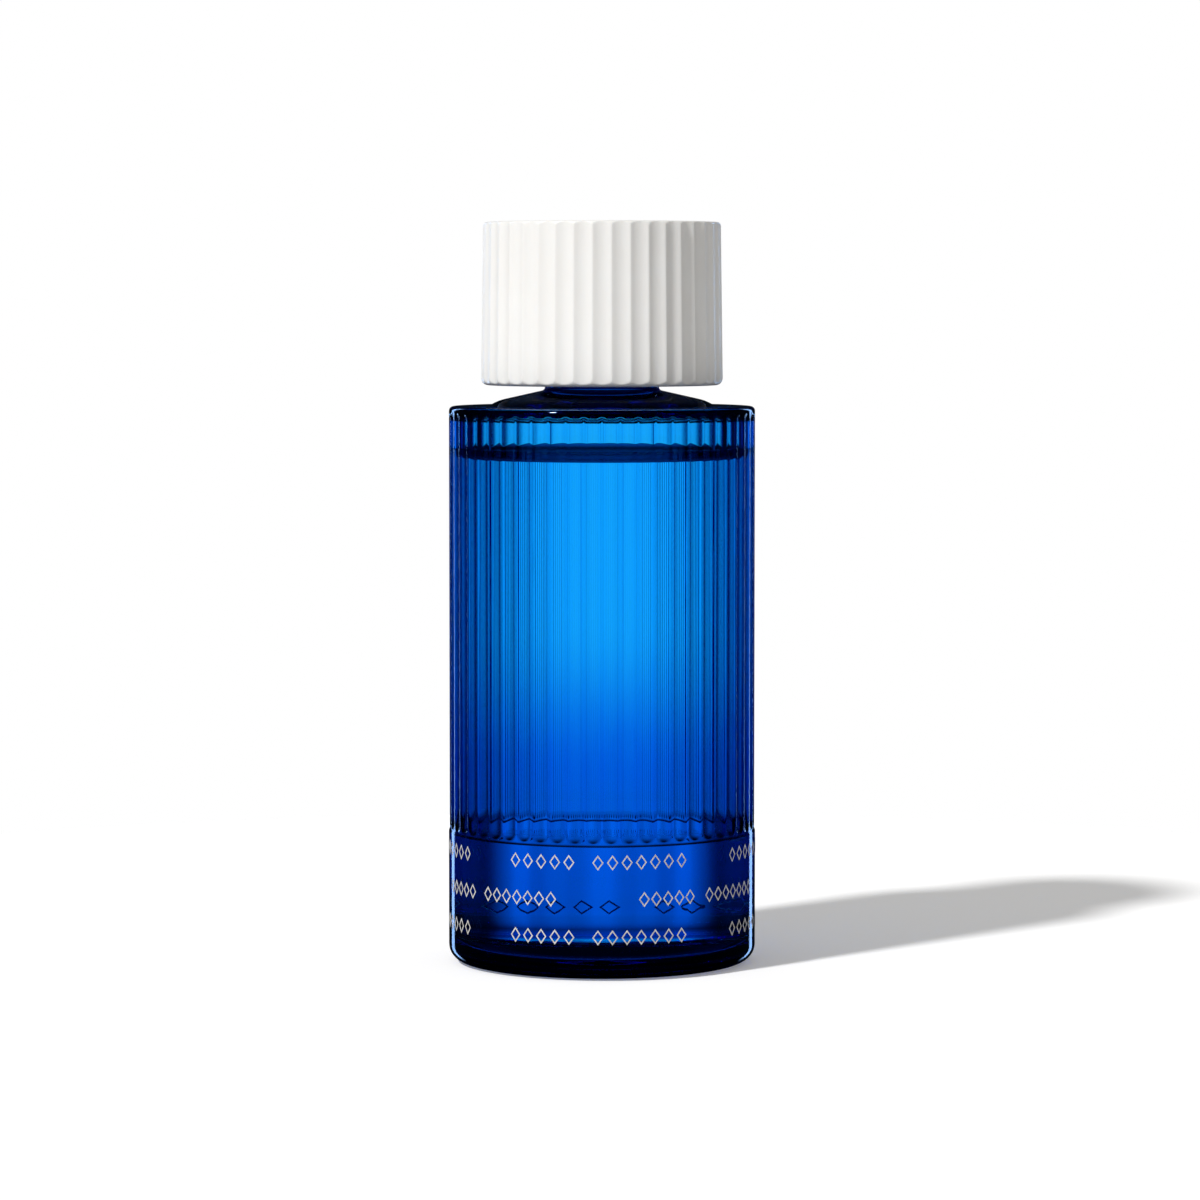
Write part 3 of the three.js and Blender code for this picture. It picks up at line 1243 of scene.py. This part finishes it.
@dataclass
class Surroundings:
    """The world: white to the camera, a pale ground and a dark room through glass, strips in gloss.

    A direction has a turn, its angle from straight behind the bottle, and a climb. A Step holds one
    value up to a first place, and another from a second place on.
    """

    ambient: float = 0.32
    ambient_tint: Colour = (1.0, 0.985, 0.965)
    strip_turn: float = 0.5
    strip_tint: Colour = (0.3, 0.55, 1.0)
    strip_edge: Step = ((0.05, 4.0), (0.09, 0.012))
    strip_end: Step = ((0.3, 1.0), (0.45, 0.0))
    wall_tint: Colour = (0.92, 0.92, 1.0)
    wall_edge: Step = ((0.24, 1.0), (0.52, 0.0))
    wall_foot: Step = ((-0.104, 0.0), (-0.07, 1.0))
    side: Step = ((1.3, 0.0), (1.45, 0.3))
    front: Step = ((1.9, 0.0), (2.1, 1.0))
    shade_tint: Colour = (0.06, 0.33, 0.88)
    shade: Step = ((0.0, 0.055), (1.0, 1.0))
    shade_end: Step = ((0.72, 0.0), (0.84, 0.04))
    slat_paces: Point = (19.0, 43.0)
    slat: Step = ((-1.0, 0.89), (1.0, 1.11))
    ground_fall: Step = ((-0.16, 0.64), (-0.055, 1.1))
    ground_end: Step = ((-0.36, 0.0), (-0.17, 1.0))
    least_ground: float = 0.01
    under: Step = ((1.0, 0.12), (1.3, 0.03))
    under_end: Step = ((-0.5, 1.0), (-0.42, 0.0))
    horizon: Step = ((-0.0235, 1.0), (-0.0212, 0.0))
    overhead: Step = ((0.5, 0.004), (0.95, 0.05))

    def build(self) -> None:
        """Builds the world, with a light of its own for each kind of ray."""
        world = bpy.data.worlds.new("studio_world")
        world.use_nodes = True
        world.node_tree.nodes.clear()
        bpy.context.scene.world = world
        wiring = Wiring(world.node_tree)
        place = wiring.add("ShaderNodeTexCoord")
        split = wiring.add("ShaderNodeSeparateXYZ")
        wiring.feed(place.outputs["Generated"], split.inputs["Vector"])
        heading = wiring.math("ARCTAN2", split.outputs["X"], split.outputs["Y"])
        climb = split.outputs["Z"]
        path = wiring.add("ShaderNodeLightPath")
        surface = self._glow(wiring, self.ambient_tint, self.ambient)
        strips = self._mirrored(wiring, heading, climb)
        layers = (
            (self._glow(wiring, self.strip_tint, strips), "Is Glossy Ray"),
            (self._glow(wiring, *self._bent(wiring, heading, climb)), "Is Transmission Ray"),
            (self._glow(wiring, (1.0, 1.0, 1.0), 1.0), "Is Camera Ray"),
        )
        for glow, ray in layers:
            mix = wiring.add("ShaderNodeMixShader")
            wiring.feed(path.outputs[ray], mix.inputs["Fac"])
            wiring.feed(surface, mix.inputs[1])
            wiring.feed(glow, mix.inputs[2])
            surface = mix.outputs["Shader"]
        wiring.feed(surface, wiring.add("ShaderNodeOutputWorld").inputs["Surface"])

    @staticmethod
    def _glow(wiring: Wiring, tone: object, strength: object) -> Socket:
        """Adds a background light.

        Args:
            wiring: The world's wiring.
            tone: Its colour, or the socket that gives it.
            strength: Its strength, or the socket that gives it.

        Returns:
            Its output.
        """
        node = wiring.add("ShaderNodeBackground")
        wiring.fill(node, Color=tone, Strength=strength)
        return node.outputs["Background"]

    def _mirrored(self, wiring: Wiring, heading: Socket, climb: Socket) -> Socket:
        """Makes the dark room that gloss mirrors, with a strip light behind on each side.

        Args:
            wiring: The world's wiring.
            heading: The ray's angle from straight behind the bottle.
            climb: The ray's climb.

        Returns:
            The strength.
        """
        turn = wiring.math("ABSOLUTE", heading)
        away = wiring.math("ABSOLUTE", wiring.math("SUBTRACT", turn, self.strip_turn))
        level = wiring.ramp(wiring.math("ABSOLUTE", climb), *self.strip_end)
        return wiring.math("MULTIPLY", wiring.ramp(away, *self.strip_edge), level)

    def _bent(self, wiring: Wiring, heading: Socket, climb: Socket) -> tuple[Socket, Socket]:
        """Makes what shows through glass: a pale wall behind, blue shade beside it, a dark room above.

        Args:
            wiring: The world's wiring.
            heading: The ray's angle from straight behind the bottle.
            climb: The ray's climb.

        Returns:
            The colour and the strength.
        """
        turn = wiring.math("ABSOLUTE", heading)
        before = wiring.math("MAXIMUM", wiring.ramp(turn, *self.side), wiring.ramp(turn, *self.front))
        wall = wiring.math("MAXIMUM", wiring.ramp(turn, *self.wall_edge), before)
        pale = wiring.math("MINIMUM", wall, wiring.ramp(climb, *self.wall_foot))
        tone = wiring.blend(pale, self.shade_tint, self.wall_tint)
        shade = wiring.ramp(wall, *self.shade)
        reach = wiring.math("SUBTRACT", shade, wiring.ramp(turn, *self.shade_end))
        reach = wiring.math("MAXIMUM", reach, before)
        for pace in self.slat_paces:
            slats = wiring.math("COSINE", wiring.math("MULTIPLY", heading, pace))
            reach = wiring.math("MULTIPLY", reach, wiring.ramp(slats, *self.slat))
        steep = wiring.math("MAXIMUM", wiring.ramp(climb, *self.ground_end), self.least_ground)
        ground = wiring.math("MULTIPLY", reach, wiring.ramp(climb, *self.ground_fall))
        ground = wiring.math("MULTIPLY", ground, steep)
        under = wiring.ramp(turn, *self.under)
        under = wiring.math("MULTIPLY", under, wiring.ramp(climb, *self.under_end))
        ground = wiring.math("MAXIMUM", ground, under)
        ground = wiring.math("MULTIPLY", ground, wiring.ramp(climb, *self.horizon))
        return tone, wiring.math("MAXIMUM", ground, wiring.ramp(climb, *self.overhead))


@dataclass
class Studio:
    """The floor, the key light and the camera. Metres."""

    eye_distance: float = 1.04
    eye_level: float = 0.1507
    aim_level: float = 0.0824
    aim_side: float = -0.00045
    lens: float = 137.1
    floor_radius: float = 0.3
    floor_level: float = -0.0002
    floor_tone: Colour = (0.93, 0.93, 0.93)
    floor_roughness: float = 0.9
    floor_lift: float = 0.2
    key_from: Colour = (-0.62, -0.62, 0.85)
    key_strength: float = 2.8
    key_width: float = 5.0

    def build(self) -> None:
        """Builds everything round the bottle."""
        self._floor()
        Surroundings().build()
        self._lights()
        self._camera()

    def _floor(self) -> None:
        """Builds the pale floor, a wide disc. Glass and gloss look past it at the surroundings."""
        material, wiring, shader, _ = start_material("pale_floor")
        wiring.fill(
            shader,
            Base_Color=self.floor_tone,
            Roughness=self.floor_roughness,
            Specular_IOR_Level=0.0,
            Emission_Color=(1.0, 1.0, 1.0),
            Emission_Strength=self.floor_lift,
        )
        mesh = bmesh.new()
        bmesh.ops.create_circle(mesh, cap_ends=True, segments=96, radius=self.floor_radius)
        floor = finish_mesh(mesh, "floor", material)
        floor.location.z = self.floor_level
        floor.visible_transmission = False
        floor.visible_glossy = False

    def _lights(self) -> None:
        """Sets a key light up to the left, far enough off to light the floor evenly."""
        lamp = bpy.data.lights.new("key_light", "SUN")
        lamp.energy = self.key_strength
        lamp.angle = math.radians(self.key_width)
        thing = bpy.data.objects.new("key_light", lamp)
        thing.rotation_euler = (-Vector(self.key_from)).to_track_quat("-Z", "Y").to_euler()
        bpy.context.scene.collection.objects.link(thing)

    def _camera(self) -> None:
        """Sets the camera at the photograph's angle."""
        data = bpy.data.cameras.new("camera")
        data.sensor_width = 36.0
        data.lens = self.lens
        camera = bpy.data.objects.new("camera", data)
        camera.location = (self.aim_side, -self.eye_distance, self.eye_level)
        aim = Vector((self.aim_side, 0.0, self.aim_level)) - camera.location
        camera.rotation_euler = aim.to_track_quat("-Z", "Y").to_euler()
        bpy.context.scene.collection.objects.link(camera)
        bpy.context.scene.camera = camera


def report(pieces: Sequence[Thing]) -> None:
    """Logs each piece with its triangles."""
    for piece in pieces:
        count = sum(len(face.vertices) - 2 for face in piece.data.polygons)
        LOG.info("%s: %d triangles", piece.name, count)


def main() -> None:
    """Builds the bottle in order."""
    logging.basicConfig(level=logging.INFO, format="%(name)s: %(message)s")
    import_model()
    bpy.context.scene.view_settings.view_transform = "Standard"
    Studio().build()
    effects = SharedEffects()
    bottle = GlassBottle()
    report([bottle.build(COBALT_GLASS.make(effects))])
    report([LiquidFill(bottle).build(BLUE_LIQUID.make(effects))])
    report([CapShell().build(WHITE_CAP.make(effects))])
    report([CapInsert(bottle).build(NATURAL_INSERT.make(effects))])
    report([SealLiner(bottle).build(LINER_FOAM.make(effects))])
    report(FoilRows(bottle).build(SILVER_FOIL.make(effects)))
    bpy.context.view_layer.update()


if __name__ == "__main__":
    main()
